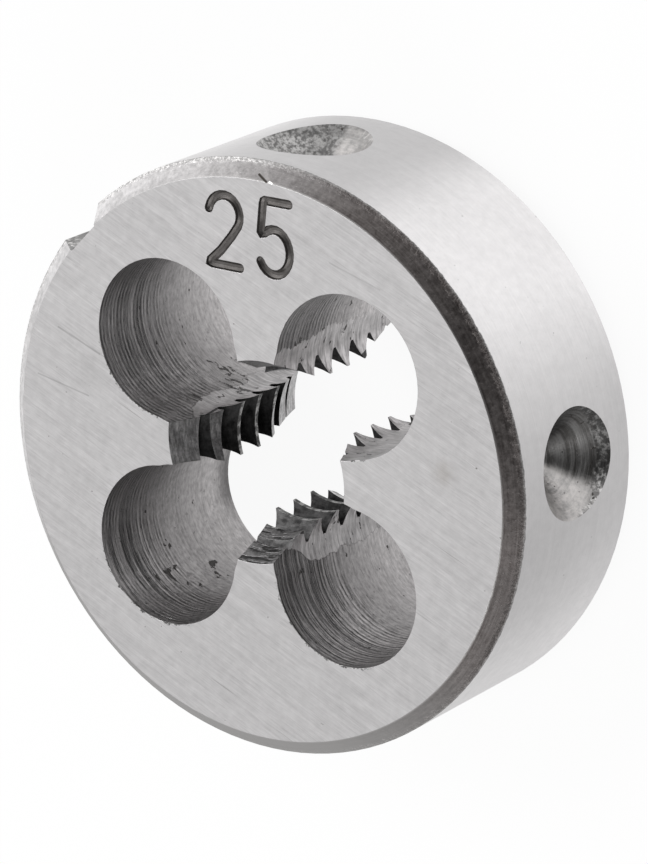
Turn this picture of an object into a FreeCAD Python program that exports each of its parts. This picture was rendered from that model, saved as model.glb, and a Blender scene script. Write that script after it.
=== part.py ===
import FreeCAD, Part
import math
import os

# Round threading die, one solid piece of tool steel, lying flat on its unmarked face.
# Millimetres. +Z is the die's axis, z = 0 is the lower face and the origin is on the axis there.
# The four lands lie on the X and Y axes, and the four chip holes lie between them.

# Blank
body_diameter = 25.0
body_thickness = 9.0
chamfer_radial = 0.69
chamfer_axial = 0.63

# Thread, right-handed, cut by all four lands. Its depth and root flat are shares of the pitch.
thread_pitch = 1.25
thread_major_diameter = 8.0
thread_depth_share = 0.624
thread_root_share = 0.1248
thread_flank_angle = 60.0
thread_start_angle = 0.0

# Lead: a cone on each land at both faces, so that the first teeth are cut low.
# Its axis stands aside from the die's, so that it falls away behind the land's cutting edge.
lead_mouth_diameter = 8.68
upper_lead_depth = 2.7
lower_lead_depth = 3.3
lead_relief_shift = 0.45

# Chip holes, drilled through beside the thread so that they break into it
chip_hole_count = 4
chip_hole_diameter = 6.8
chip_hole_circle_diameter = 12.5

# Rake faces, ground down both sides of each land by a small wheel that passes through the holes
land_width = 2.26
rake_wheel_diameter = 4.0
rake_reach_diameter = 9.8

# Screw dimples at half height in the rim, in two pairs either side of the notch
dimple_diameter = 5.0
dimple_angle = 90.0
dimple_tip_diameter = 0.3
dimple_near_angle = 46.0
dimple_far_angle = 132.0

# Setting notch in the rim, a V with a flat floor, a little round from the chip hole beside it
notch_width = 2.6
notch_depth = 0.78
notch_angle = 60.0
notch_hole_index = 1
notch_turn = 2.0

# How far a cut runs past the surface that it opens
overrun = 1.0

axis_up = FreeCAD.Vector(0, 0, 1)
centre = FreeCAD.Vector(0, 0, 0)

body_radius = body_diameter / 2
major_radius = thread_major_diameter / 2
minor_radius = major_radius - thread_depth_share * thread_pitch
thread_root_flat = thread_root_share * thread_pitch
mouth_radius = lead_mouth_diameter / 2
hole_radius = chip_hole_diameter / 2
hole_circle_radius = chip_hole_circle_diameter / 2
wheel_radius = rake_wheel_diameter / 2
hole_step = 360.0 / chip_hole_count
first_hole_angle = hole_step / 2
land_sector = 0.9 * hole_step
notch_position = first_hole_angle + notch_hole_index * hole_step + notch_turn


def polar(radius, angle, height=0.0):
    turn = math.radians(angle)
    return FreeCAD.Vector(radius * math.cos(turn), radius * math.sin(turn), height)


def face_of(points):
    return Part.Face(Part.makePolygon(points + points[:1]))


def section_of(outline):
    return face_of([FreeCAD.Vector(radius, 0, height) for radius, height in outline])


def turned(shape, angle):
    copy = shape.copy()
    copy.rotate(centre, axis_up, angle)
    return copy


# The turned blank: the rim, and a chamfer at both faces.
# Its section starts its turn at the notch, so that the rim is one unbroken wall from side to side of it.
def make_blank():
    outline = [
        (0, 0),
        (body_radius - chamfer_radial, 0),
        (body_radius, chamfer_axial),
        (body_radius, body_thickness - chamfer_axial),
        (body_radius - chamfer_radial, body_thickness),
        (0, body_thickness),
    ]
    return turned(section_of(outline), notch_position).revolve(centre, axis_up, 360)


# The bore at the thread's crests, past both faces. Its wall starts and ends where a chip hole takes it away.
def make_bore():
    bore = Part.makeCylinder(minor_radius, body_thickness + 2 * overrun, FreeCAD.Vector(0, 0, -overrun))
    return turned(bore, first_hole_angle)


# One stretch of the thread's V, swept along its helix over the land on the +X axis, at height 0 there.
# It reaches a little inside the bore, less far than would let one turn touch the next.
def make_groove():
    slope = math.tan(math.radians(thread_flank_angle / 2))
    crest_flat = thread_pitch - thread_root_flat - 2 * (major_radius - minor_radius) * slope
    inner_radius = minor_radius - crest_flat / (4 * slope)
    inner_half = thread_root_flat / 2 + (major_radius - inner_radius) * slope
    profile = Part.makePolygon([
        FreeCAD.Vector(inner_radius, 0, -inner_half),
        FreeCAD.Vector(major_radius, 0, -thread_root_flat / 2),
        FreeCAD.Vector(major_radius, 0, thread_root_flat / 2),
        FreeCAD.Vector(inner_radius, 0, inner_half),
        FreeCAD.Vector(inner_radius, 0, -inner_half),
    ])
    rise = thread_pitch * land_sector / 360
    helix = Part.makeHelix(thread_pitch, rise, major_radius)
    groove = Part.Wire(helix).makePipeShell([profile], True, True)
    groove.translate(FreeCAD.Vector(0, 0, -rise / 2))
    return turned(groove, -land_sector / 2)


# Every stretch of the thread, land by land, from below the lower face to above the upper one.
# Each land's grooves stand a part of the pitch above the last land's, so that all follow one helix.
def make_grooves():
    groove = make_groove()
    grooves = []
    for index in range(chip_hole_count):
        angle = index * hole_step
        height = thread_pitch * ((angle - thread_start_angle) / 360 % 1.0) - 1.5 * thread_pitch
        while height < body_thickness + thread_pitch:
            stretch = turned(groove, angle)
            stretch.translate(FreeCAD.Vector(0, 0, height))
            grooves.append(stretch)
            height += thread_pitch
    return grooves


# Centre of the grinding wheel for the rake face that follows a land on the +X axis.
# The wheel passes through the land's corner at the crests and through the hole's wall at its reach.
def wheel_centre():
    corner = FreeCAD.Vector(math.sqrt(minor_radius**2 - (land_width / 2) ** 2), land_width / 2, 0)
    reach = rake_reach_diameter / 2
    spread = (reach**2 + hole_circle_radius**2 - hole_radius**2) / (2 * reach * hole_circle_radius)
    wall = polar(reach, first_hole_angle - math.degrees(math.acos(spread)))
    chord = wall - corner
    lift = math.sqrt(wheel_radius**2 - (chord.Length / 2) ** 2)
    across = axis_up.cross(chord).normalize()
    return (corner + wall) * 0.5 + across * lift


# One chip hole, on the first hole's angle, with the rake faces of the two lands beside it
def make_chip_hole():
    depth = body_thickness + 2 * overrun
    low = FreeCAD.Vector(0, 0, -overrun)
    drill = Part.makeCylinder(hole_radius, depth, polar(hole_circle_radius, first_hole_angle, -overrun))
    near = wheel_centre()
    far_angle = 2 * first_hole_angle - math.degrees(math.atan2(near.y, near.x))
    near_wheel = Part.makeCylinder(wheel_radius, depth, near + low)
    far_wheel = Part.makeCylinder(wheel_radius, depth, polar(near.Length, far_angle, -overrun))
    return drill.fuse([near_wheel, far_wheel]).removeSplitter()


# A countersunk dimple for a clamping screw, on the +X side of the rim
def make_dimple():
    slope = math.tan(math.radians(dimple_angle / 2))
    tip_radius = dimple_tip_diameter / 2
    depth = (dimple_diameter / 2 - tip_radius) / slope
    tip = FreeCAD.Vector(body_radius - depth, 0, body_thickness / 2)
    outer_radius = tip_radius + (depth + overrun) * slope
    return Part.makeCone(tip_radius, outer_radius, depth + overrun, tip, FreeCAD.Vector(1, 0, 0))


# The lead of the land on the +X axis at the upper face, as a sector of a cone that widens upwards.
# Seen from above its cutting edge is the anticlockwise one, so the cone's axis stands towards the other.
def make_lead(depth):
    slope = (mouth_radius - minor_radius) / depth
    inner_radius = minor_radius - lead_relief_shift
    outline = [
        (inner_radius, body_thickness - (mouth_radius - inner_radius) / slope),
        (mouth_radius + overrun * slope, body_thickness + overrun),
        (inner_radius, body_thickness + overrun),
    ]
    sector = turned(section_of(outline), -land_sector / 2).revolve(centre, axis_up, land_sector)
    return sector.translated(FreeCAD.Vector(0, -lead_relief_shift, 0))


# The same lead at the lower face, as the upper one looks when the die is turned over
def make_lower_lead(depth):
    lead = make_lead(depth)
    lead.rotate(FreeCAD.Vector(0, 0, body_thickness / 2), FreeCAD.Vector(1, 0, 0), 180)
    return lead


# The setting notch, cut the whole thickness of the rim on the +X side
def make_notch():
    slope = math.tan(math.radians(notch_angle / 2))
    floor_half = notch_width / 2 - notch_depth * slope
    outer_half = notch_width / 2 + overrun * slope
    floor = body_radius - notch_depth
    section = face_of([
        FreeCAD.Vector(floor, -floor_half, -overrun),
        FreeCAD.Vector(body_radius + overrun, -outer_half, -overrun),
        FreeCAD.Vector(body_radius + overrun, outer_half, -overrun),
        FreeCAD.Vector(floor, floor_half, -overrun),
    ])
    return section.extrude(axis_up * (body_thickness + 2 * overrun))


# The chip holes part the bore's wall into lands, which then get their thread and their leads
def make_die():
    die = make_blank().cut(make_bore())
    hole = make_chip_hole()
    die = die.cut([turned(hole, index * hole_step) for index in range(chip_hole_count)])
    die = die.cut(make_grooves())
    cuts = [turned(make_notch(), notch_position)]
    for index in range(chip_hole_count):
        cuts.append(turned(make_lead(upper_lead_depth), index * hole_step))
        cuts.append(turned(make_lower_lead(lower_lead_depth), index * hole_step))
    for offset in (dimple_near_angle, dimple_far_angle):
        cuts.append(turned(make_dimple(), notch_position - offset))
        cuts.append(turned(make_dimple(), notch_position + offset))
    return die.cut(cuts).Solids[0]


die_body = make_die()
os.makedirs("parts", exist_ok=True)
die_body.exportStep("parts/die_body.step")
print("volume", round(die_body.Volume, 2), "valid", die_body.isValid(), "faces", len(die_body.Faces))
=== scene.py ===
import math

import bpy
from mathutils import Matrix, Vector


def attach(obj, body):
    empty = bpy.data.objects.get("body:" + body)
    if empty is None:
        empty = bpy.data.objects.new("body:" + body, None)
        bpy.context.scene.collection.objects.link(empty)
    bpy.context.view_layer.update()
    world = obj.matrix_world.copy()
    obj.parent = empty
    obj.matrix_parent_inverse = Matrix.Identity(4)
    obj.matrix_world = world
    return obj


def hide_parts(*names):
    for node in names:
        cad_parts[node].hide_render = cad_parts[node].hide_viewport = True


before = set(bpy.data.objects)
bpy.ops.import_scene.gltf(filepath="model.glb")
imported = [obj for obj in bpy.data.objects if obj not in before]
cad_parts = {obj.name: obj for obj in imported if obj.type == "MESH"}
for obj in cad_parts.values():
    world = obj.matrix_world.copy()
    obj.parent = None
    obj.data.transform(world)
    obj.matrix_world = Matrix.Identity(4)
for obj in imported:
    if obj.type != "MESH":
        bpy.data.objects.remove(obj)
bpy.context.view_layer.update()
print("frame loaded")

mm = 0.001


# Selecting pieces, and settling their shape
def clearSelection():
    if bpy.context.object and bpy.context.object.mode != "OBJECT":
        bpy.ops.object.mode_set(mode="OBJECT")
    bpy.ops.object.select_all(action="DESELECT")


def pick(piece):
    clearSelection()
    piece.select_set(True)
    bpy.context.view_layer.objects.active = piece


def settle(piece):                       # puts a piece's place, turn and size into its mesh
    pick(piece)
    bpy.ops.object.transform_apply(location=True, rotation=True, scale=True)


def applyModifiers(piece):
    pick(piece)
    for modifier in list(piece.modifiers):
        bpy.ops.object.modifier_apply(modifier=modifier.name)


class Wire:                              # a shader socket that can be used in plain sums
    def __init__(self, tree, socket=None):
        self.tree = tree
        self.socket = socket

    def node(self, kind, settings=None, sockets=None, output=0):
        made = self.tree.nodes.new(kind)
        for name, value in (settings or {}).items():
            setattr(made, name, value)
        for name, value in (sockets or {}).items():
            if isinstance(value, Wire):
                self.tree.links.new(value.socket, made.inputs[name])
            elif isinstance(value, tuple) and len(value) == 3 and len(made.inputs[name].default_value) == 4:
                made.inputs[name].default_value = (*value, 1.0)
            else:
                made.inputs[name].default_value = value
        return Wire(self.tree, made.outputs[output] if made.outputs else None)

    def maths(self, operation, *values):
        return self.node("ShaderNodeMath", {"operation": operation}, dict(enumerate(values)))

    def wave(self):
        return self.maths("SINE", self)

    def __add__(self, other):
        return self.maths("ADD", self, other)

    def __sub__(self, other):
        return self.maths("SUBTRACT", self, other)

    def __rsub__(self, other):
        return self.maths("SUBTRACT", other, self)

    def __mul__(self, other):
        return self.maths("MULTIPLY", self, other)

    def __truediv__(self, other):
        return self.maths("DIVIDE", self, other)

    def __pow__(self, other):
        return self.maths("POWER", self, other)

    __radd__ = __add__
    __rmul__ = __mul__

    def top(self, other):
        return self.maths("MAXIMUM", self, other)

    def low(self, other):
        return self.maths("MINIMUM", self, other)

    def size(self):
        return self.maths("ABSOLUTE", self)

    def ramp(self, start, end, low=0.0, high=1.0):
        return self.node("ShaderNodeMapRange", {"interpolation_type": "SMOOTHSTEP"}, {
            "Value": self, "From Min": start, "From Max": end, "To Min": low, "To Max": high})

    def mix(self, first, second):        # self is the factor, first and second are colours
        return self.node("ShaderNodeMix", {"data_type": "RGBA"}, {0: self, 6: first, 7: second}, 2)


class Finish:                            # one metal finish, with the coordinates that its patterns use
    def __init__(self, name):
        self.material = bpy.data.materials.new(name)
        self.material.use_nodes = True
        tree = self.material.node_tree
        tree.nodes.clear()
        self.wire = Wire(tree)
        self.place = self.wire.node("ShaderNodeTexCoord", output=3)
        axes = self.place.node("ShaderNodeSeparateXYZ", sockets={"Vector": self.place})
        self.x, self.y, self.z = [Wire(tree, socket) for socket in axes.socket.node.outputs]
        self.radius = (self.x * self.x + self.y * self.y) ** 0.5

    def stretched(self, scale, turn=(0, 0, 0), shift=(0, 0, 0)):
        return self.wire.node("ShaderNodeMapping", {"vector_type": "POINT"}, {
            "Vector": self.place, "Rotation": turn, "Scale": scale, "Location": shift})

    def noise(self, vector=None, scale=1.0, detail=2.0, roughness=0.5, distortion=0.0):
        return self.wire.node("ShaderNodeTexNoise", None, {
            "Vector": vector or self.place, "Scale": scale, "Detail": detail,
            "Roughness": roughness, "Distortion": distortion})

    def grain(self, along, across, angle, detail=3.0, roughness=0.6, shift=(0, 0, 0)):
        # lines that run at angle, in degrees from +X, along and across are their sizes in mm
        turned = self.stretched((1, 1, 1), (0, 0, -math.radians(angle)))
        scale = (1 / (along * mm), 1 / (across * mm), 1 / (along * mm))
        lines = self.wire.node("ShaderNodeMapping", {"vector_type": "POINT"}, {
            "Vector": turned, "Scale": scale, "Location": shift})
        return self.noise(lines, 1.0, detail, roughness)

    def spot(self, x, y, size, soft=0.5):
        # 1 at a place on the part, in mm, fading to 0 at size from it
        far = ((self.x - x * mm) ** 2 + (self.y - y * mm) ** 2) ** 0.5
        return far.ramp(size * mm, size * soft * mm)

    def stroke(self, start, end, width):
        # 1 on a line between two places on the part, seen from above, in mm
        length = math.dist(start, end)
        alongX, alongY = (end[0] - start[0]) / length, (end[1] - start[1]) / length
        overX, overY = self.x - start[0] * mm, self.y - start[1] * mm
        run = overX * alongX + overY * alongY
        past = (run - length * mm).top(run * -1.0).top(0)
        aside = overY * alongX - overX * alongY
        return ((past * past + aside * aside) ** 0.5).ramp(width * mm, width * 0.5 * mm)

    def metal(self, colour, roughness, bump, depth, edge):
        # bare steel, with its relief's depth and its rounded edges' radius in mm
        rounded = self.wire.node("ShaderNodeBevel", {"samples": 4}, {"Radius": edge * mm})
        relief = self.wire.node("ShaderNodeBump", None, {
            "Height": bump, "Distance": depth * mm, "Strength": 1.0, "Normal": rounded})
        shader = self.wire.node("ShaderNodeBsdfPrincipled", None, {
            "Metallic": 1.0, "Base Color": colour, "Roughness": roughness, "Normal": relief})
        self.wire.node("ShaderNodeOutputMaterial", None, {"Surface": shader})
        return self.material


view = {                                 # the photograph's own view, roll included
    "target": (0.259 * mm, 0.135 * mm, 4.5 * mm),
    "azimuth": 30.25,
    "elevation": 51.44,
    "distance": 208.0 * mm,
    "roll": -114.45,
    "lens": 211.55,
}


def makeCamera():
    turn, lift = math.radians(view["azimuth"]), math.radians(view["elevation"])
    outward = Vector((math.cos(lift) * math.cos(turn), math.cos(lift) * math.sin(turn), math.sin(lift)))
    clearSelection()
    bpy.ops.object.camera_add(location=Vector(view["target"]) + outward * view["distance"])
    camera = bpy.context.object
    camera.name = "photographView"
    facing = (-outward).to_track_quat("-Z", "Y").to_matrix()
    camera.rotation_euler = (facing @ Matrix.Rotation(math.radians(view["roll"]), 3, "Z")).to_euler()
    camera.data.lens = view["lens"]
    camera.data.sensor_width = 36.0
    camera.data.clip_start = 0.01
    bpy.context.scene.camera = camera


makeCamera()
print("camera placed")


stage = {                                # pale floor and white surroundings
    "floorSize": 3.0,
    "floorColour": (0.86, 0.86, 0.86),
    "floorShade": (0.84, 0.84, 0.84),    # its grain
    "floorGlow": 0.93,                   # share of plain white in what the camera and the metal see
    "floorDusk": 0.70,                   # how bright the floor mirrors on its unlit side
    "duskStart": 6.0 * mm,               # along Y, from here
    "duskEnd": -14.0 * mm,               # to here
    "worldWhite": (1.0, 1.0, 1.0),
    "worldLevel": 0.75,                  # plain light from all round
    "darkSide": (0.538, 0.314, 0.782),   # where the studio is unlit, behind the camera
    "darkLevel": 0.06,
    "darkInner": 0.95,
    "darkOuter": 0.66,
    "roomDusk": 0.72,                    # level of the room's unlit side
}


def makeFloor():
    clearSelection()
    bpy.ops.mesh.primitive_plane_add(size=stage["floorSize"], location=(0, 0, 0))
    floor = bpy.context.object
    floor.name = "paleFloor"
    settle(floor)
    finish = Finish("palePaper")
    rays = finish.wire.node("ShaderNodeLightPath")
    camera, glossy, through = [Wire(rays.tree, rays.socket.node.outputs[name])
                               for name in ("Is Camera Ray", "Is Glossy Ray", "Is Transmission Ray")]
    grain = finish.noise(scale=900.0, detail=3.0)
    paper = grain.mix(stage["floorShade"], stage["floorColour"])
    matt = finish.wire.node("ShaderNodeBsdfDiffuse", None, {"Color": paper})
    white = finish.wire.node("ShaderNodeEmission", None, {"Color": (1.0, 1.0, 1.0), "Strength": 1.0})
    dusk = finish.y.ramp(stage["duskEnd"], stage["duskStart"], stage["floorDusk"], 1.0)
    glow = dusk.mix((0.0, 0.0, 0.0), (1.0, 1.0, 1.0))
    mirrored = finish.wire.node("ShaderNodeEmission", None, {"Color": glow, "Strength": 1.0})
    seen = camera.top(through) * stage["floorGlow"]
    lit = finish.wire.node("ShaderNodeMixShader", None, {0: seen, 1: matt, 2: white})
    reflected = glossy * stage["floorGlow"]
    shader = finish.wire.node("ShaderNodeMixShader", None, {0: reflected, 1: lit, 2: mirrored})
    finish.wire.node("ShaderNodeOutputMaterial", None, {"Surface": shader})
    floor.data.materials.append(finish.material)


def makeWorld():
    world = bpy.data.worlds.new("studioRoom")
    bpy.context.scene.world = world
    world.use_nodes = True
    tree = world.node_tree
    tree.nodes.clear()
    wire = Wire(tree)
    rays = wire.node("ShaderNodeLightPath").socket.node.outputs
    camera, glossy, through = [Wire(tree, rays[name])
                               for name in ("Is Camera Ray", "Is Glossy Ray", "Is Transmission Ray")]
    direction = wire.node("ShaderNodeTexCoord", output=0)
    facing = wire.node("ShaderNodeVectorMath", {"operation": "DOT_PRODUCT"}, {
        0: direction, 1: stage["darkSide"]}, 1)
    room = facing.ramp(stage["darkOuter"], stage["darkInner"], 1.0, stage["darkLevel"])
    side = wire.node("ShaderNodeSeparateXYZ", None, {"Vector": direction}, 1)
    room = room * side.ramp(-0.8, 0.2, stage["roomDusk"], 1.0)
    level = camera.top(glossy.top(through) * room)
    plain = (1 - camera.top(glossy).top(through)) * stage["worldLevel"]
    shade = wire.node("ShaderNodeBackground", None, {"Color": stage["worldWhite"], "Strength": level + plain})
    wire.node("ShaderNodeOutputWorld", None, {"Surface": shade})


lamps = {
    "leftSoftBox": {"place": (-0.35, 0.25, 0.45), "size": 0.35, "power": 1.6},
    "rightSoftBox": {"place": (0.30, -0.45, 0.40), "size": 0.30, "power": 1.0},
}


def makeLamps():
    for name, lamp in lamps.items():
        clearSelection()
        bpy.ops.object.light_add(type="AREA", location=lamp["place"])
        light = bpy.context.object
        light.name = name
        light.rotation_euler = (-Vector(lamp["place"])).to_track_quat("-Z", "Y").to_euler()
        light.data.size = lamp["size"]
        light.data.energy = lamp["power"]
        light.visible_camera = False


makeFloor()
makeWorld()
makeLamps()
bpy.context.scene.view_settings.view_transform = "Standard"
print("stage made")


die = {                                  # sizes that the finishes and the mark use, in mm and degrees
    "radius": 12.5,
    "thickness": 9.0,
    "chamferRadial": 0.69,
    "chamferAxial": 0.63,
    "crestRadius": 3.22,
    "mouthRadius": 4.34,
    "leadDepths": (2.7, 3.3),            # at the upper and the lower face
    "leadShift": 0.45,
    "holeRadius": 3.4,
    "holeCircle": 6.25,
    "firstHole": 45.0,
    "notchAngle": 137.0,
    "notchHalf": 1.5,
    "dimpleAngles": (5.0, 91.0, 183.0, 269.0),
    "grindAngle": -24.5,                 # the way that the face was ground, from +X
    "mergeDistance": 0.0005,
    "smoothAngle": 28.0,                 # sharper edges than this stay sharp
}


def grey(level, tint=(1.0, 0.985, 0.975)):       # a fixed grey colour
    return tuple(level * share for share in tint)


def shaded(level, tint=(1.0, 0.982, 0.986)):     # a grey colour of the level that a wire carries
    return level.mix((0.0, 0.0, 0.0), tint)


nicks = (                                # across the upper edge: from, to, width, colour
    ((0.09, 12.02), (0.57, 11.81), 0.05, (0.05, 0.045, 0.04)),
    ((0.69, 11.83), (0.82, 11.79), 0.05, (0.90, 0.89, 0.87)),
)

face = {
    "level": 0.568,
    "stains": (                          # x, y, size, strength
        (2.78, -4.76, 0.9, 0.20),
        (9.0, 1.3, 1.1, 0.22),
        (-4.6, -2.3, 0.8, 0.25),
    ),
    "stainColour": (0.34, 0.31, 0.28),
    "scratches": (                       # from, to, width, strength
        ((-9.9, 4.0), (-7.8, 3.2), 0.05, 0.35),
        ((-11.0, 1.8), (-8.4, 1.3), 0.045, 0.3),
        ((3.6, 9.0), (6.0, 8.3), 0.04, 0.2),
    ),
}


def groundFaceFinish():
    finish = Finish("groundFace")
    fine = finish.grain(1.4, 0.045, die["grindAngle"], 2.0, 0.55)
    broad = finish.grain(5.0, 0.20, die["grindAngle"], 3.0, 0.6, (3, 7, 0))
    cross = finish.grain(1.2, 0.06, die["grindAngle"] + 9, 2.0, 0.5, (9, 2, 0))
    cloud = finish.noise(scale=300.0, detail=3.0)
    peel = finish.noise(scale=2300.0, detail=3.0, roughness=0.6)
    level = face["level"] + (fine - 0.5) * 0.20 + (broad - 0.5) * 0.13 + (cross - 0.5) * 0.08
    level = level + (cloud - 0.5) * 0.06 + (peel - 0.5) * 0.16
    scratch = finish.grain(3.5, 0.07, die["grindAngle"] + 2, 1.0, 0.5, (4, 1, 0)).ramp(0.74, 0.84)
    bright = finish.grain(2.6, 0.05, die["grindAngle"] - 3, 1.0, 0.5, (14, 6, 0)).ramp(0.74, 0.82)
    pits = finish.noise(scale=4300.0, detail=1.0).ramp(0.79, 0.84)
    steel = shaded(level + bright * 0.10)
    blot = finish.noise(scale=1900.0, detail=4.0)
    for x, y, size, strength in face["stains"]:
        spot = finish.spot(x, y, size, 0.1)
        patch = (spot * strength + (blot - 0.5) * 0.25).ramp(0.0, 0.4)
        steel = (patch * spot * 0.6).mix(steel, face["stainColour"])
    steel = (scratch * 0.55).mix(steel, (0.25, 0.24, 0.235))
    steel = (pits * 0.8).mix(steel, (0.16, 0.15, 0.145))

    # Torn edges of the chip holes, on their lower sides
    middle = die["holeCircle"] * math.sqrt(0.5) * mm
    overX, overY = finish.x.size() - middle, finish.y.size() - middle
    fromHole = (overX * overX + overY * overY) ** 0.5 - die["holeRadius"] * mm
    below = finish.y.maths("SIGN", finish.y) * middle - finish.y
    beside = finish.x.maths("SIGN", finish.x) * middle - finish.x
    side = (below * 0.9 + beside * 0.5).ramp(1.8 * mm, 3.0 * mm)
    rag = finish.noise(scale=3600.0, detail=4.0, roughness=0.7)
    torn = (fromHole - (rag - 0.45) * 0.55 * mm).ramp(0.03 * mm, -0.02 * mm) * side
    burr = finish.noise(scale=6200.0, detail=2.0).ramp(0.46, 0.60)
    steel = torn.mix(steel, burr.mix(grey(0.11), grey(0.62)))
    for start, end, width, colour in nicks:
        steel = finish.stroke(start, end, width).mix(steel, colour)
    for start, end, width, strength in face["scratches"]:
        steel = (finish.stroke(start, end, width) * strength).mix(steel, grey(0.16))

    relief = fine * 0.6 + broad * 0.4 + cross * 0.2 - scratch * 0.5 - pits * 0.8 + bright * 0.3 + peel * 0.8
    rough = 0.37 + (broad - 0.5) * 0.15 + pits * 0.2
    return finish.metal(steel, rough, relief + torn * (burr - 0.5) * 2.0, 0.003, edge=0.03)


rim = {
    "level": 0.72,
    "paintedLightBands": (                          # painted highlights and shade: angle, half width, change
        (42, 34, 0.24),
        (6, 34, -0.24),
        (84, 26, -0.20),
        (-52, 30, 0.20),
    ),
}


def turnedRimFinish():
    finish = Finish("turnedRim")
    rings = finish.noise(finish.stretched((220, 220, 17000)), 1.0, 3.0, 0.6)
    mottle = finish.noise(scale=2300.0, detail=5.0, roughness=0.7)
    cloud = finish.noise(scale=210.0, detail=3.0)
    level = rim["level"] + (rings - 0.5) * 0.12 + (mottle - 0.5) * 0.22 + (cloud - 0.5) * 0.10
    # Painted light: lighter and darker bands around the rim, standing in for highlights and shade
    for angle, halfWidth, change in rim["paintedLightBands"]:
        turn = math.radians(angle)
        facing = (finish.x * math.cos(turn) + finish.y * math.sin(turn)) / (die["radius"] * mm)
        level = level * (1 + facing.ramp(math.cos(math.radians(halfWidth)), 1.0) * change)
    specks = finish.noise(scale=3900.0, detail=2.0).ramp(0.73, 0.80)
    upper = (die["thickness"] - die["chamferAxial"]) * mm - finish.z
    rag = finish.noise(scale=3600.0, detail=4.0, roughness=0.7)
    fromEdge = upper + (rag - 0.60) * 0.22 * mm
    stain = fromEdge.ramp(0.05 * mm, -0.02 * mm)
    steel = stain.mix(shaded(level), grey(0.20))
    steel = (specks * 0.45).mix(steel, grey(0.24))
    rough = 0.40 + (mottle - 0.5) * 0.2 + stain * 0.15
    relief = rings * 0.5 + mottle * 0.7 - stain * 0.4
    return finish.metal(steel, rough, relief, 0.004, edge=0.03)


chamfer = {
    "darkest": (0.064, 0.056, 0.054),    # the two tones of its dark scale
    "palest": (0.198, 0.182, 0.178),
    "bareLevel": 0.72,
    "bareToward": 140.0,                 # the side where it is bare, in degrees from +X
}


def chamferFinish():
    finish = Finish("scaledChamfer")
    radius = die["radius"] * mm
    mottle = finish.noise(scale=3400.0, detail=5.0, roughness=0.75)
    cloud = finish.noise(scale=900.0, detail=3.0, roughness=0.6)
    flecks = finish.noise(scale=6500.0, detail=3.0, roughness=0.6).ramp(0.60, 0.70)
    rings = finish.noise(finish.stretched((300, 300, 16000)), 1.0, 2.0, 0.6)
    eastward = finish.x / radius
    northward = finish.y / radius
    turn = math.radians(chamfer["bareToward"])
    away = eastward * math.cos(turn) + northward * math.sin(turn)
    pale = ((away - 0.25) * 1.333).top(0) ** 1.6
    pale = pale.top((eastward * -1.0).ramp(0.80, 0.97))
    under = (northward * -1.0 - eastward * 0.6).ramp(-0.1, 0.9)
    dark = mottle.ramp(0.3, 0.7) * 0.5 + rings.ramp(0.3, 0.7) * 0.3 + flecks * 0.25
    dark = dark.mix(chamfer["darkest"], chamfer["palest"])
    dark = (under * 0.7).mix(dark, grey(0.50))
    sooty = eastward.ramp(0.78, 0.90) * northward.ramp(-0.10, -0.24) * 0.3
    sooty = sooty + eastward.ramp(0.97, 0.985) * northward.ramp(-0.02, 0.04) * 0.22
    dark = sooty.mix(dark, grey(0.03))
    light = shaded(chamfer["bareLevel"] + (mottle - 0.5) * 0.9 + (cloud - 0.5) * 0.3)
    steel = pale.mix(dark, light)
    inner = radius - die["chamferRadial"] * mm
    worn = (finish.radius + (mottle - 0.5) * 0.10 * mm).ramp(inner + 0.06 * mm, inner)
    outer = (finish.radius + (mottle - 0.5) * 0.14 * mm).ramp(radius - 0.07 * mm, radius + 0.02 * mm)
    steel = (worn * 0.5 + outer * 0.45).mix(steel, grey(0.50))
    torn = (finish.radius + (mottle - 0.5) * 0.5 * mm).ramp(radius - 0.20 * mm, radius - 0.08 * mm)
    burr = finish.noise(scale=7600.0, detail=3.0, roughness=0.6).ramp(0.40, 0.62)
    steel = (torn * pale.ramp(0.1, 0.5) * 0.7).mix(steel, burr.mix(grey(0.36), grey(0.86)))
    for start, end, width, colour in nicks:
        steel = finish.stroke(start, end, width).mix(steel, colour)
    relief = mottle * 0.8 + rings * 0.2 + flecks * 0.2 + torn * burr
    return finish.metal(steel, 0.44 + (mottle - 0.5) * 0.3, relief, 0.014, edge=0.03)


hole = {
    "dark": 0.18,
    "light": 0.535,
    "paintedShadeFrom": 7.4,                   # painted shade: the wall is darker above this height, and scored deeper there
    "paintedLightBelow": 0.8,                  # and painted lightest, and smoothest, below this one
    "rake": 0.42,
    "rakeReach": 4.95,                   # how far out the lands' ground flanks go, in mm from the axis
    "rakeRag": 1.1,
    "lowerHolesLift": 0.14,              # the two holes on the -Y side are this share lighter
    "ringPitch": 0.23,                   # the drill's fine rings
    "torn": (                            # x, y, z, size
        (-5.8, 1.3, 2.7, 1.3),
        (-4.9, 1.05, 3.6, 1.0),
        (-5.0, 1.05, 6.2, 0.8),
        (-6.4, -7.1, 5.7, 1.3),
        (-5.8, -7.5, 3.2, 1.2),
    ),
}


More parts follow.
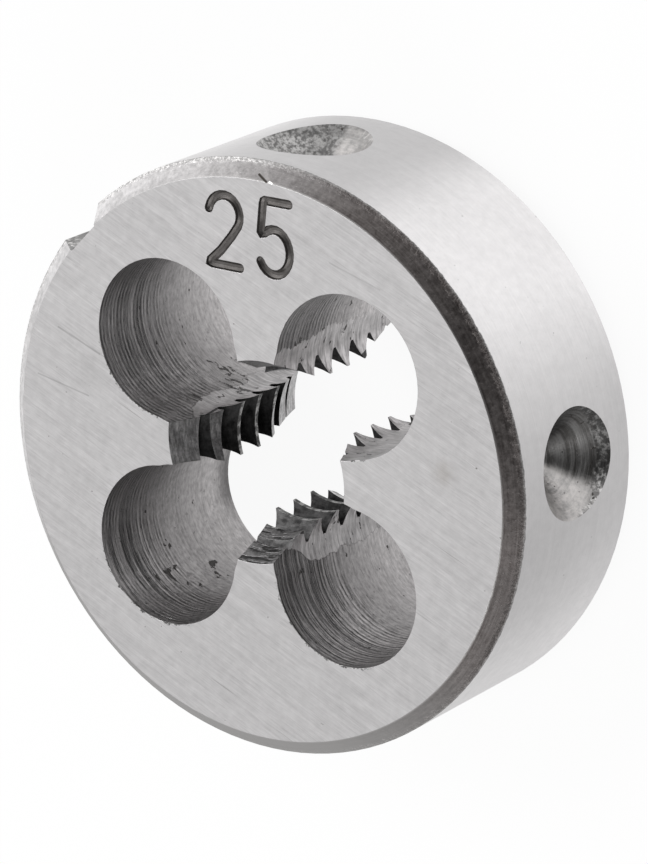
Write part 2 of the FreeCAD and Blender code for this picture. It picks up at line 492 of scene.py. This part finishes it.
def chipHoleFinish():                    # the drilled wall, and the flanks that are ground beside the thread
    finish = Finish("chipHole")
    middle = die["holeCircle"] * math.sqrt(0.5) * mm
    below = finish.y.maths("SIGN", finish.y) * middle - finish.y     # how far down a hole's lower side
    # The +X +Y hole's flanks are ground right up to the face, and the -X -Y one is scored, with painted
    # shade, only near it
    clean = finish.x.low(finish.y).ramp(0.0, 0.2 * mm)
    leftLow = finish.x.top(finish.y).ramp(0.0, -0.2 * mm)
    up = finish.z + below * 0.12
    rings = finish.noise(finish.stretched((110, 110, 9500), (0.05, 0.03, 0)), 1.0, 4.0, 0.7)
    fineRings = finish.noise(finish.stretched((200, 200, 21000), (0.04, 0.02, 0), (3, 1, 5)), 1.0, 2.0, 0.6)
    streak = finish.noise(finish.stretched((1900, 1900, 900)), 1.0, 4.0, 0.65)
    blot = finish.noise(scale=1400.0, detail=4.0, roughness=0.65)
    # Ring scoring on the upper wall, which also carries painted shade there
    scoringAndShade = (up - leftLow * 1.0 * mm + (streak - 0.5) * 3.0 * mm).ramp(3.8 * mm, 6.6 * mm)
    score = rings.ramp(0.50, 0.60)
    ridge = rings.ramp(0.46, 0.37)
    turns = finish.z * (math.tau / (hole["ringPitch"] * mm)) + (blot - 0.5) * 5.0 + (rings - 0.5) * 5.0
    turns = turns.wave()
    near = finish.radius.ramp(6.6 * mm, 4.4 * mm) * 0.04
    for x, y, z, size in hole["torn"]:
        far = ((finish.x - x * mm) ** 2 + (finish.y - y * mm) ** 2 + (finish.z - z * mm) ** 2) ** 0.5
        near = near + far.ramp(size * mm, size * 0.3 * mm) * 0.11
    tears = (finish.noise(finish.stretched((1700, 1700, 2600)), 1.0, 3.0, 0.6) + near).ramp(0.69, 0.72)
    upperLeft = (finish.y - finish.x).ramp(2.0 * mm, 5.0 * mm)       # the -X +Y hole, its painted shade reaching further down
    # Painted shade: the wall is darker near the upper face and lighter further down
    height = up + upperLeft * 0.8 * mm + (blot - 0.5) * 3.0 * mm
    wall = height.ramp(hole["paintedShadeFrom"] * mm, hole["paintedLightBelow"] * mm, hole["dark"], hole["light"])
    lift = finish.y.ramp(1.0 * mm, -1.0 * mm) * finish.z.ramp(3.0 * mm, 6.5 * mm)
    wall = wall * (0.96 + lift * hole["lowerHolesLift"] + clean * 0.30)
    pits = finish.noise(scale=4600.0, detail=2.0).ramp(0.66, 0.74)
    grit = finish.noise(finish.stretched((3600, 3600, 7000)), 1.0, 3.0, 0.65)
    low = below.ramp(1.4 * mm, 3.0 * mm) * finish.z.ramp(3.0 * mm, 6.0 * mm)
    coarse = (rings - 0.5) * scoringAndShade * 0.5 + (blot - 0.5) * 0.55
    wall = wall * (1 + coarse + (fineRings - 0.5) * (0.25 + scoringAndShade * 0.9))
    wall = wall * (1 + low * 0.5) * (1 + turns * (scoringAndShade * streak.ramp(0.3, 0.65) * 0.62 + 0.03))
    wall = wall * (1 + (grit - 0.5) * (1.2 + low * 1.4 - scoringAndShade * 0.5))
    # Deeper scoring that also darkens the upper wall, as painted shade
    broad = scoringAndShade * (1 - upperLeft * 0.6)
    wall = wall * (1 - score * broad * 0.75) + ridge * broad * 0.22
    wall = wall * (1 - score * (1 - scoringAndShade) * 0.12) * (1 - pits * 0.3)
    # Painted shade: a dark soft band at the lower face's end of the -X -Y hole's wall
    end = finish.z.ramp(1.3 * mm, 0.1 * mm) * finish.x.ramp(-5.0 * mm, -7.0 * mm)
    end = end * finish.y.ramp(-6.4 * mm, -5.2 * mm) * finish.y.ramp(0.0, -1.0 * mm)
    wall = wall * (1 - end * 0.6)

    steps = finish.noise(finish.stretched((260, 260, 620), (0, 0, 0), (2, 6, 1)), 1.0, 2.0, 0.5)
    rag = finish.noise(finish.stretched((900, 900, 2600), (0, 0, 0), (7, 3, 2)), 1.0, 3.0, 0.6)
    reach = hole["rakeReach"] * mm + (steps - 0.5) * hole["rakeRag"] * mm + (rag - 0.5) * 0.45 * mm
    reach = reach - (1 - clean) * (finish.z + (rag - 0.5) * 1.2 * mm).ramp(6.2 * mm, 8.4 * mm) * 1.2 * mm
    reach = reach + clean * (finish.x - finish.y).ramp(0.5 * mm, 1.5 * mm) * 2.0 * mm
    ground = (reach - finish.radius).ramp(-0.03 * mm, 0.05 * mm)
    lines = finish.noise(finish.stretched((900, 900, 7000), (0.1, 0.1, 0)), 1.0, 4.0, 0.7)
    flank = hole["rake"] + (lines - 0.5) * 0.85 + (blot - 0.5) * 0.40
    edgeLight = finish.radius.ramp(4.3 * mm, 3.6 * mm) * rag.ramp(0.42, 0.6)
    flank = (flank + edgeLight * 0.20) * (1 + clean * finish.radius.ramp(3.4 * mm, 4.4 * mm) * 0.12)

    steel = ground.mix(shaded(wall, (1.0, 0.965, 0.968)), shaded(flank, (1.0, 0.97, 0.975)))
    steel = (tears * 0.9).mix(steel, (0.035, 0.032, 0.03))
    relief = (rings * 0.9 - score * 0.5) * (1 - ground) * (0.15 + scoringAndShade * 0.85)
    relief = relief + fineRings * 0.25 + streak * 0.35 - tears * 1.4
    relief = relief + ground * (0.55 + lines * 0.8) + edgeLight * 0.8
    return finish.metal(steel, 0.42 + (streak - 0.5) * 0.25, relief, 0.024, edge=0.03)


thread = {
    "flankLeft": 0.022,                  # on the -X land, nearly black with old cutting oil
    "flank": 0.058,
    "crest": 0.42,
}


def threadFinish():
    finish = Finish("cutThread")
    drag = finish.noise(finish.stretched((900, 900, 5200)), 1.0, 4.0, 0.65)
    mottle = finish.noise(scale=3400.0, detail=4.0, roughness=0.7)
    oil = (finish.x * -1.0 + (mottle - 0.5) * 0.4 * mm).ramp(1.9 * mm, 2.6 * mm)
    front = finish.z.ramp(5.2 * mm, 6.6 * mm) * (1 - oil)
    crest = (finish.radius + (mottle - 0.5) * 0.03 * mm).ramp(3.236 * mm, 3.221 * mm)
    crestSteel = mottle.ramp(0.44, 0.60).mix(grey(0.07), grey(thread["crest"]))
    level = oil * (thread["flankLeft"] - thread["flank"]) + thread["flank"]
    lowLand = (finish.y * -1.0).ramp(2.2 * mm, 3.2 * mm)
    worn = drag.ramp(0.36, 0.64) * 0.8 + mottle.ramp(0.34, 0.66) * 0.7 + 0.25
    level = (level + front * 0.04) * worn * (1 - lowLand * 0.42)
    steel = (crest * 0.85).mix(shaded(level), crestSteel)
    return finish.metal(steel, 0.42 + (mottle - 0.5) * 0.25, drag + mottle, 0.012, edge=0.010)


lead = {
    "level": 0.36,
    "furrow": 0.06,
}


def leadConeFinish():
    finish = Finish("turnedLead")
    drag = finish.noise(finish.stretched((650, 650, 4300), (0.35, 0.25, 0)), 1.0, 4.0, 0.65, 0.7)
    mottle = finish.noise(scale=3000.0, detail=4.0, roughness=0.7)
    hairs = finish.noise(finish.stretched((1100, 1900, 6400), (0.5, -0.6, 0.4), (2, 8, 3)), 1.0, 3.0, 0.6)
    grit = finish.noise(scale=7500.0, detail=2.0, roughness=0.6)
    oil = (finish.x * -1.0).ramp(2.2 * mm, 3.2 * mm)
    back = finish.z.ramp(4.0 * mm, 3.0 * mm)
    lowLand = (finish.y * -1.0).ramp(2.2 * mm, 3.2 * mm)
    furrow = (drag + (grit - 0.5) * 0.15).ramp(0.55, 0.40) * (0.25 + lowLand * 0.5)
    level = lead["level"] - oil * 0.10 + lowLand * 0.09 + back * 0.22
    spread = (mottle - 0.5) * 0.8 + (hairs - 0.5) * (0.6 + oil * 1.4) + (drag - 0.5) * lowLand * 1.5
    level = level * (1 + spread) * (1 + (grit - 0.5) * 1.1)
    steel = furrow.mix(shaded(level), grey(lead["furrow"]))
    return finish.metal(steel, 0.42, drag + mottle * 0.5 + hairs * 0.4 - furrow * 0.4, 0.030, edge=0.02)


# The colours of a dimple's painted shaded half and of its lit half
dimple = {
    "dark": (0.070, 0.066, 0.063),
    "light": (0.66, 0.634, 0.622),
}


def dimpleFinish():
    finish = Finish("countersunkDimple")
    outward, around = None, None
    for angle in die["dimpleAngles"]:
        turn = math.radians(angle)
        reach = finish.x * math.cos(turn) + finish.y * math.sin(turn)
        across = finish.y * math.cos(turn) - finish.x * math.sin(turn)
        here = reach.ramp(9.0 * mm, 9.4 * mm)
        outward = reach if outward is None else outward.top(reach)
        around = across * here if around is None else around + across * here
    rings = finish.noise(finish.wire.node("ShaderNodeCombineXYZ", None, {
        "X": outward * 6500, "Y": finish.z * 200, "Z": around * 200}), 1.0, 4.0, 0.7)
    mottle = finish.noise(scale=2900.0, detail=4.0, roughness=0.7)
    tears = finish.noise(scale=3100.0, detail=2.0).ramp(0.69, 0.75)
    # Painted light: the lit half of each dimple
    litHalf = (rings * 0.4 + mottle * 0.6).ramp(0.3, 0.65).mix(grey(0.32), dimple["light"])
    rough = finish.y.ramp(9.0 * mm, 10.0 * mm)       # the one on the +Y side is torn rather than ringed
    lean = (1 - rough) * finish.z.ramp(2.8 * mm, 4.5 * mm, 1.25 * mm, 0.05 * mm)
    # Painted shade: the other half of each dimple is dark
    shadow = (around + (mottle - 0.5) * 0.9 * mm + lean).ramp(-0.3 * mm, 0.3 * mm)
    # The painted shaded half, with rings, and torn grain on the +Y dimple
    shadedHalf = rings * (0.8 - rough * 0.6) + mottle * (0.2 + rough * 0.6)
    shadedHalf = shadedHalf.ramp(0.38, 0.66).mix(dimple["dark"], grey(0.215))
    fine = finish.noise(scale=5400.0, detail=3.0, roughness=0.65)
    shadedHalf = (rough * 0.65).mix(shadedHalf, fine.ramp(0.38, 0.62).mix(grey(0.20), grey(0.74)))
    # Painted shade, darker still in the middle of the shaded half
    middle = (around + (mottle - 0.5) * 1.2 * mm).ramp(1.7 * mm, 0.5 * mm)
    shadedHalf = (middle * 0.35).mix(shadedHalf, rings.ramp(0.35, 0.65).mix(grey(0.035), grey(0.13)))
    steel = shadow.mix(litHalf, shadedHalf)
    outermost = outward + (mottle - 0.5) * 0.8 * mm + finish.z.ramp(6.5 * mm, 2.5 * mm, -0.35 * mm, 0.12 * mm)
    ragged = outermost.ramp(12.10 * mm, 12.30 * mm)
    burr = finish.noise(scale=4600.0, detail=3.0, roughness=0.65).ramp(0.45, 0.66)
    # Painted highlight: the burrs on the outer edge are lighter on the dimple's lit side
    bright = around.ramp(-0.5 * mm, -1.4 * mm)
    burr = burr.mix(bright.mix(grey(0.045), grey(0.16)), bright.mix(grey(0.22), grey(0.85)))
    steel = (ragged * (0.85 - rough * 0.45)).mix(steel, burr)
    steel = (tears * 0.8).mix(steel, (0.05, 0.045, 0.04))
    return finish.metal(steel, 0.38 + (mottle - 0.5) * 0.25, rings + mottle * 0.6 - tears, 0.020, edge=0.03)


notch = {
    "dark": 0.13,
    "light": 0.42,
    "speckle": 0.85,                     # near the upper face
}


def notchFinish():
    finish = Finish("milledNotch")
    lines = finish.noise(finish.stretched((6500, 6500, 200)), 1.0, 3.0, 0.6)
    mottle = finish.noise(scale=2400.0, detail=4.0, roughness=0.65)
    grit = finish.noise(scale=5200.0, detail=3.0, roughness=0.6).ramp(0.50, 0.60)
    grit = grit * finish.z.ramp(7.0 * mm, 8.8 * mm)
    steel = (lines * 0.5 + mottle * 0.5).ramp(0.32, 0.68).mix(grey(notch["dark"]), grey(notch["light"]))
    steel = (grit * 0.8).mix(steel, grey(notch["speckle"]))
    return finish.metal(steel, 0.42, lines + mottle * 0.5, 0.010, edge=0.05)


mark = {                                 # plain numerals pressed into the face, in mm
    "dark": (0.05, 0.045, 0.042),
    "light": (0.20, 0.19, 0.185),
    "strokeRadius": 0.20,
    "baseline": 8.05,
    "height": 3.0,
    "firstLeft": -2.32,
    "firstWidth": 1.66,
    "secondLeft": 0.18,
    "secondWidth": 1.62,
    # How a stroke's end narrows, as places and sizes in shares of its radius
    "endSteps": ((1.0, 0.05), (0.93, 0.40), (0.75, 0.68), (0.45, 0.90)),
}


def markFinish():
    finish = Finish("pressedMark")
    mottle = finish.noise(scale=2600.0, detail=4.0, roughness=0.6)
    steel = mottle.mix(mark["dark"], mark["light"])
    return finish.metal(steel, 0.45, mottle, 0.010, edge=0.02)


def arcPoints(centreX, centreY, radiusX, radiusY, start, end, steps):
    points = []
    for step in range(steps + 1):
        turn = math.radians(start + (end - start) * step / steps)
        points.append((centreX + radiusX * math.cos(turn), centreY + radiusY * math.sin(turn)))
    return points


def numeralTwo():                        # in a box one wide and one high
    foot = [(0.72, 0.42), (0.40, 0.20), (0.08, 0.03), (0.05, 0.0), (0.12, 0.0), (0.5, 0.0), (0.96, 0.0)]
    return arcPoints(0.5, 0.70, 0.46, 0.27, 168, -28, 12) + foot


def numeralFive():
    head = [(0.90, 1.0), (0.5, 1.0), (0.20, 1.0), (0.15, 0.985), (0.135, 0.95),
            (0.10, 0.75), (0.065, 0.56), (0.09, 0.535)]
    return head + arcPoints(0.47, 0.31, 0.47, 0.31, 128, -150, 18)


def strokeCutter(name, outline, left, width):
    points = [Vector((left + x * width, mark["baseline"] + y * mark["height"], die["thickness"]))
              for x, y in outline]
    reach = mark["strokeRadius"]
    start = (points[0] - points[1]).normalized()
    end = (points[-1] - points[-2]).normalized()
    path = [(points[0] + start * reach * share, size) for share, size in mark["endSteps"]]
    path += [(point, 1.0) for point in points]
    path += [(points[-1] + end * reach * share, size) for share, size in reversed(mark["endSteps"])]
    curve = bpy.data.curves.new(name, "CURVE")
    curve.dimensions = "3D"
    spline = curve.splines.new("POLY")
    spline.points.add(len(path) - 1)
    for spot, (point, size) in zip(spline.points, path):
        spot.co = (*(point * mm), 1.0)
        spot.radius = size
    curve.bevel_depth = reach * mm
    curve.bevel_resolution = 3
    curve.use_fill_caps = True
    stroke = bpy.data.objects.new(name, curve)
    bpy.context.scene.collection.objects.link(stroke)
    pick(stroke)
    bpy.ops.object.convert(target="MESH")
    stroke = bpy.context.object
    bpy.ops.object.mode_set(mode="EDIT")
    bpy.ops.mesh.select_all(action="SELECT")
    bpy.ops.mesh.remove_doubles(threshold=0.002 * mm)
    bpy.ops.mesh.normals_make_consistent(inside=False)
    bpy.ops.object.mode_set(mode="OBJECT")
    return stroke


# A merged copy of the CAD mesh is the die, and each of its facets gets a finish by its place
def onLead(point, upper):                # whether a point, in mm, is on one of the lands' lead cones
    depth = die["leadDepths"][0 if upper else 1]
    fromFace = die["thickness"] - point.z if upper else point.z
    radius = die["mouthRadius"] - fromFace * (die["mouthRadius"] - die["crestRadius"]) / depth
    shift = die["leadShift"] * (1 if upper else -1)
    for land in range(4):
        turn = math.radians(90 * land)
        along = point.x * math.cos(turn) + point.y * math.sin(turn)
        across = point.y * math.cos(turn) - point.x * math.sin(turn)
        if along > 2.0 and abs(math.hypot(along, across + shift) - radius) < 0.02:
            return True
    return False


def regionOf(facet):                     # the name of the finish that a facet gets
    centre = facet.center / mm
    radius = math.hypot(centre.x, centre.y)
    normal = facet.normal
    upright = abs(normal.z) < 0.01
    outward = (normal.x * centre.x + normal.y * centre.y) / max(radius, 0.001)
    if abs(normal.z) > 0.999 and (centre.z > die["thickness"] - 0.01 or centre.z < 0.01):
        return "groundFace"
    if centre.z > die["thickness"] - 0.3 and centre.y > mark["baseline"] - 0.4 and radius < 11.7:
        return "pressedMark"
    for angle in die["dimpleAngles"]:
        turn = math.radians(angle)
        along = centre.x * math.cos(turn) + centre.y * math.sin(turn)
        aside = centre.y * math.cos(turn) - centre.x * math.sin(turn)
        across = math.hypot(aside, centre.z - die["thickness"] / 2)
        if along > 9.5 and across < 2.6 and outward < 0.98 and radius < die["radius"] - 0.002:
            return "countersunkDimple"
    if radius > 11.5:
        turn = math.radians(die["notchAngle"])
        side = centre.y * math.cos(turn) - centre.x * math.sin(turn)
        inNotch = abs(side) < die["notchHalf"] and centre.x * math.cos(turn) > 0
        if inNotch and upright and (outward < 0.95 or radius < die["radius"] - 0.3):
            return "milledNotch"
        return "scaledChamfer" if abs(normal.z) > 0.3 else "turnedRim"
    for index in range(4):
        turn = math.radians(die["firstHole"] + 90 * index)
        drillX, drillY = die["holeCircle"] * math.cos(turn), die["holeCircle"] * math.sin(turn)
        fromHole = math.hypot(centre.x - drillX, centre.y - drillY)
        if abs(fromHole - die["holeRadius"]) < 0.02 and upright:
            return "chipHole"
    if upright and radius > die["crestRadius"] + 0.02:
        return "chipHole"
    if onLead(centre, normal.z > 0) and outward < -0.5:
        return "turnedLead"
    return "cutThread"


def makeDie():
    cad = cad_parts["die_body"]
    piece = bpy.data.objects.new("threadingDie", cad.data.copy())
    bpy.context.scene.collection.objects.link(piece)
    piece.data.materials.clear()
    pick(piece)
    bpy.ops.mesh.customdata_custom_splitnormals_clear()
    bpy.ops.object.mode_set(mode="EDIT")
    bpy.ops.mesh.select_all(action="SELECT")
    bpy.ops.mesh.remove_doubles(threshold=die["mergeDistance"] * mm)
    bpy.ops.object.mode_set(mode="OBJECT")
    print("mesh merged, faces", len(piece.data.polygons))

    strokes = (
        ("strokeTwo", numeralTwo(), mark["firstLeft"], mark["firstWidth"]),
        ("strokeFive", numeralFive(), mark["secondLeft"], mark["secondWidth"]),
    )
    for name, outline, left, width in strokes:
        cutter = strokeCutter(name, outline, left, width)
        cut = piece.modifiers.new(name, "BOOLEAN")
        cut.operation = "DIFFERENCE"
        cut.solver = "EXACT"
        cut.use_self = True
        cut.object = cutter
        applyModifiers(piece)
        bpy.data.objects.remove(cutter)
    print("mark pressed, faces", len(piece.data.polygons))

    finishes = [groundFaceFinish(), turnedRimFinish(), chamferFinish(), chipHoleFinish(), threadFinish(),
                leadConeFinish(), dimpleFinish(), notchFinish(), markFinish()]
    places = {finish.name: index for index, finish in enumerate(finishes)}
    piece.data.materials.clear()
    for finish in finishes:
        piece.data.materials.append(finish)
    counts = {}
    for facet in piece.data.polygons:
        name = regionOf(facet)
        counts[name] = counts.get(name, 0) + 1
        facet.material_index = places[name]
    print("finishes", counts)
    pick(piece)
    bpy.ops.object.shade_smooth_by_angle(angle=math.radians(die["smoothAngle"]))
    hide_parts("die_body")
    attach(piece, "root")
    return piece


makeDie()
print("die made")
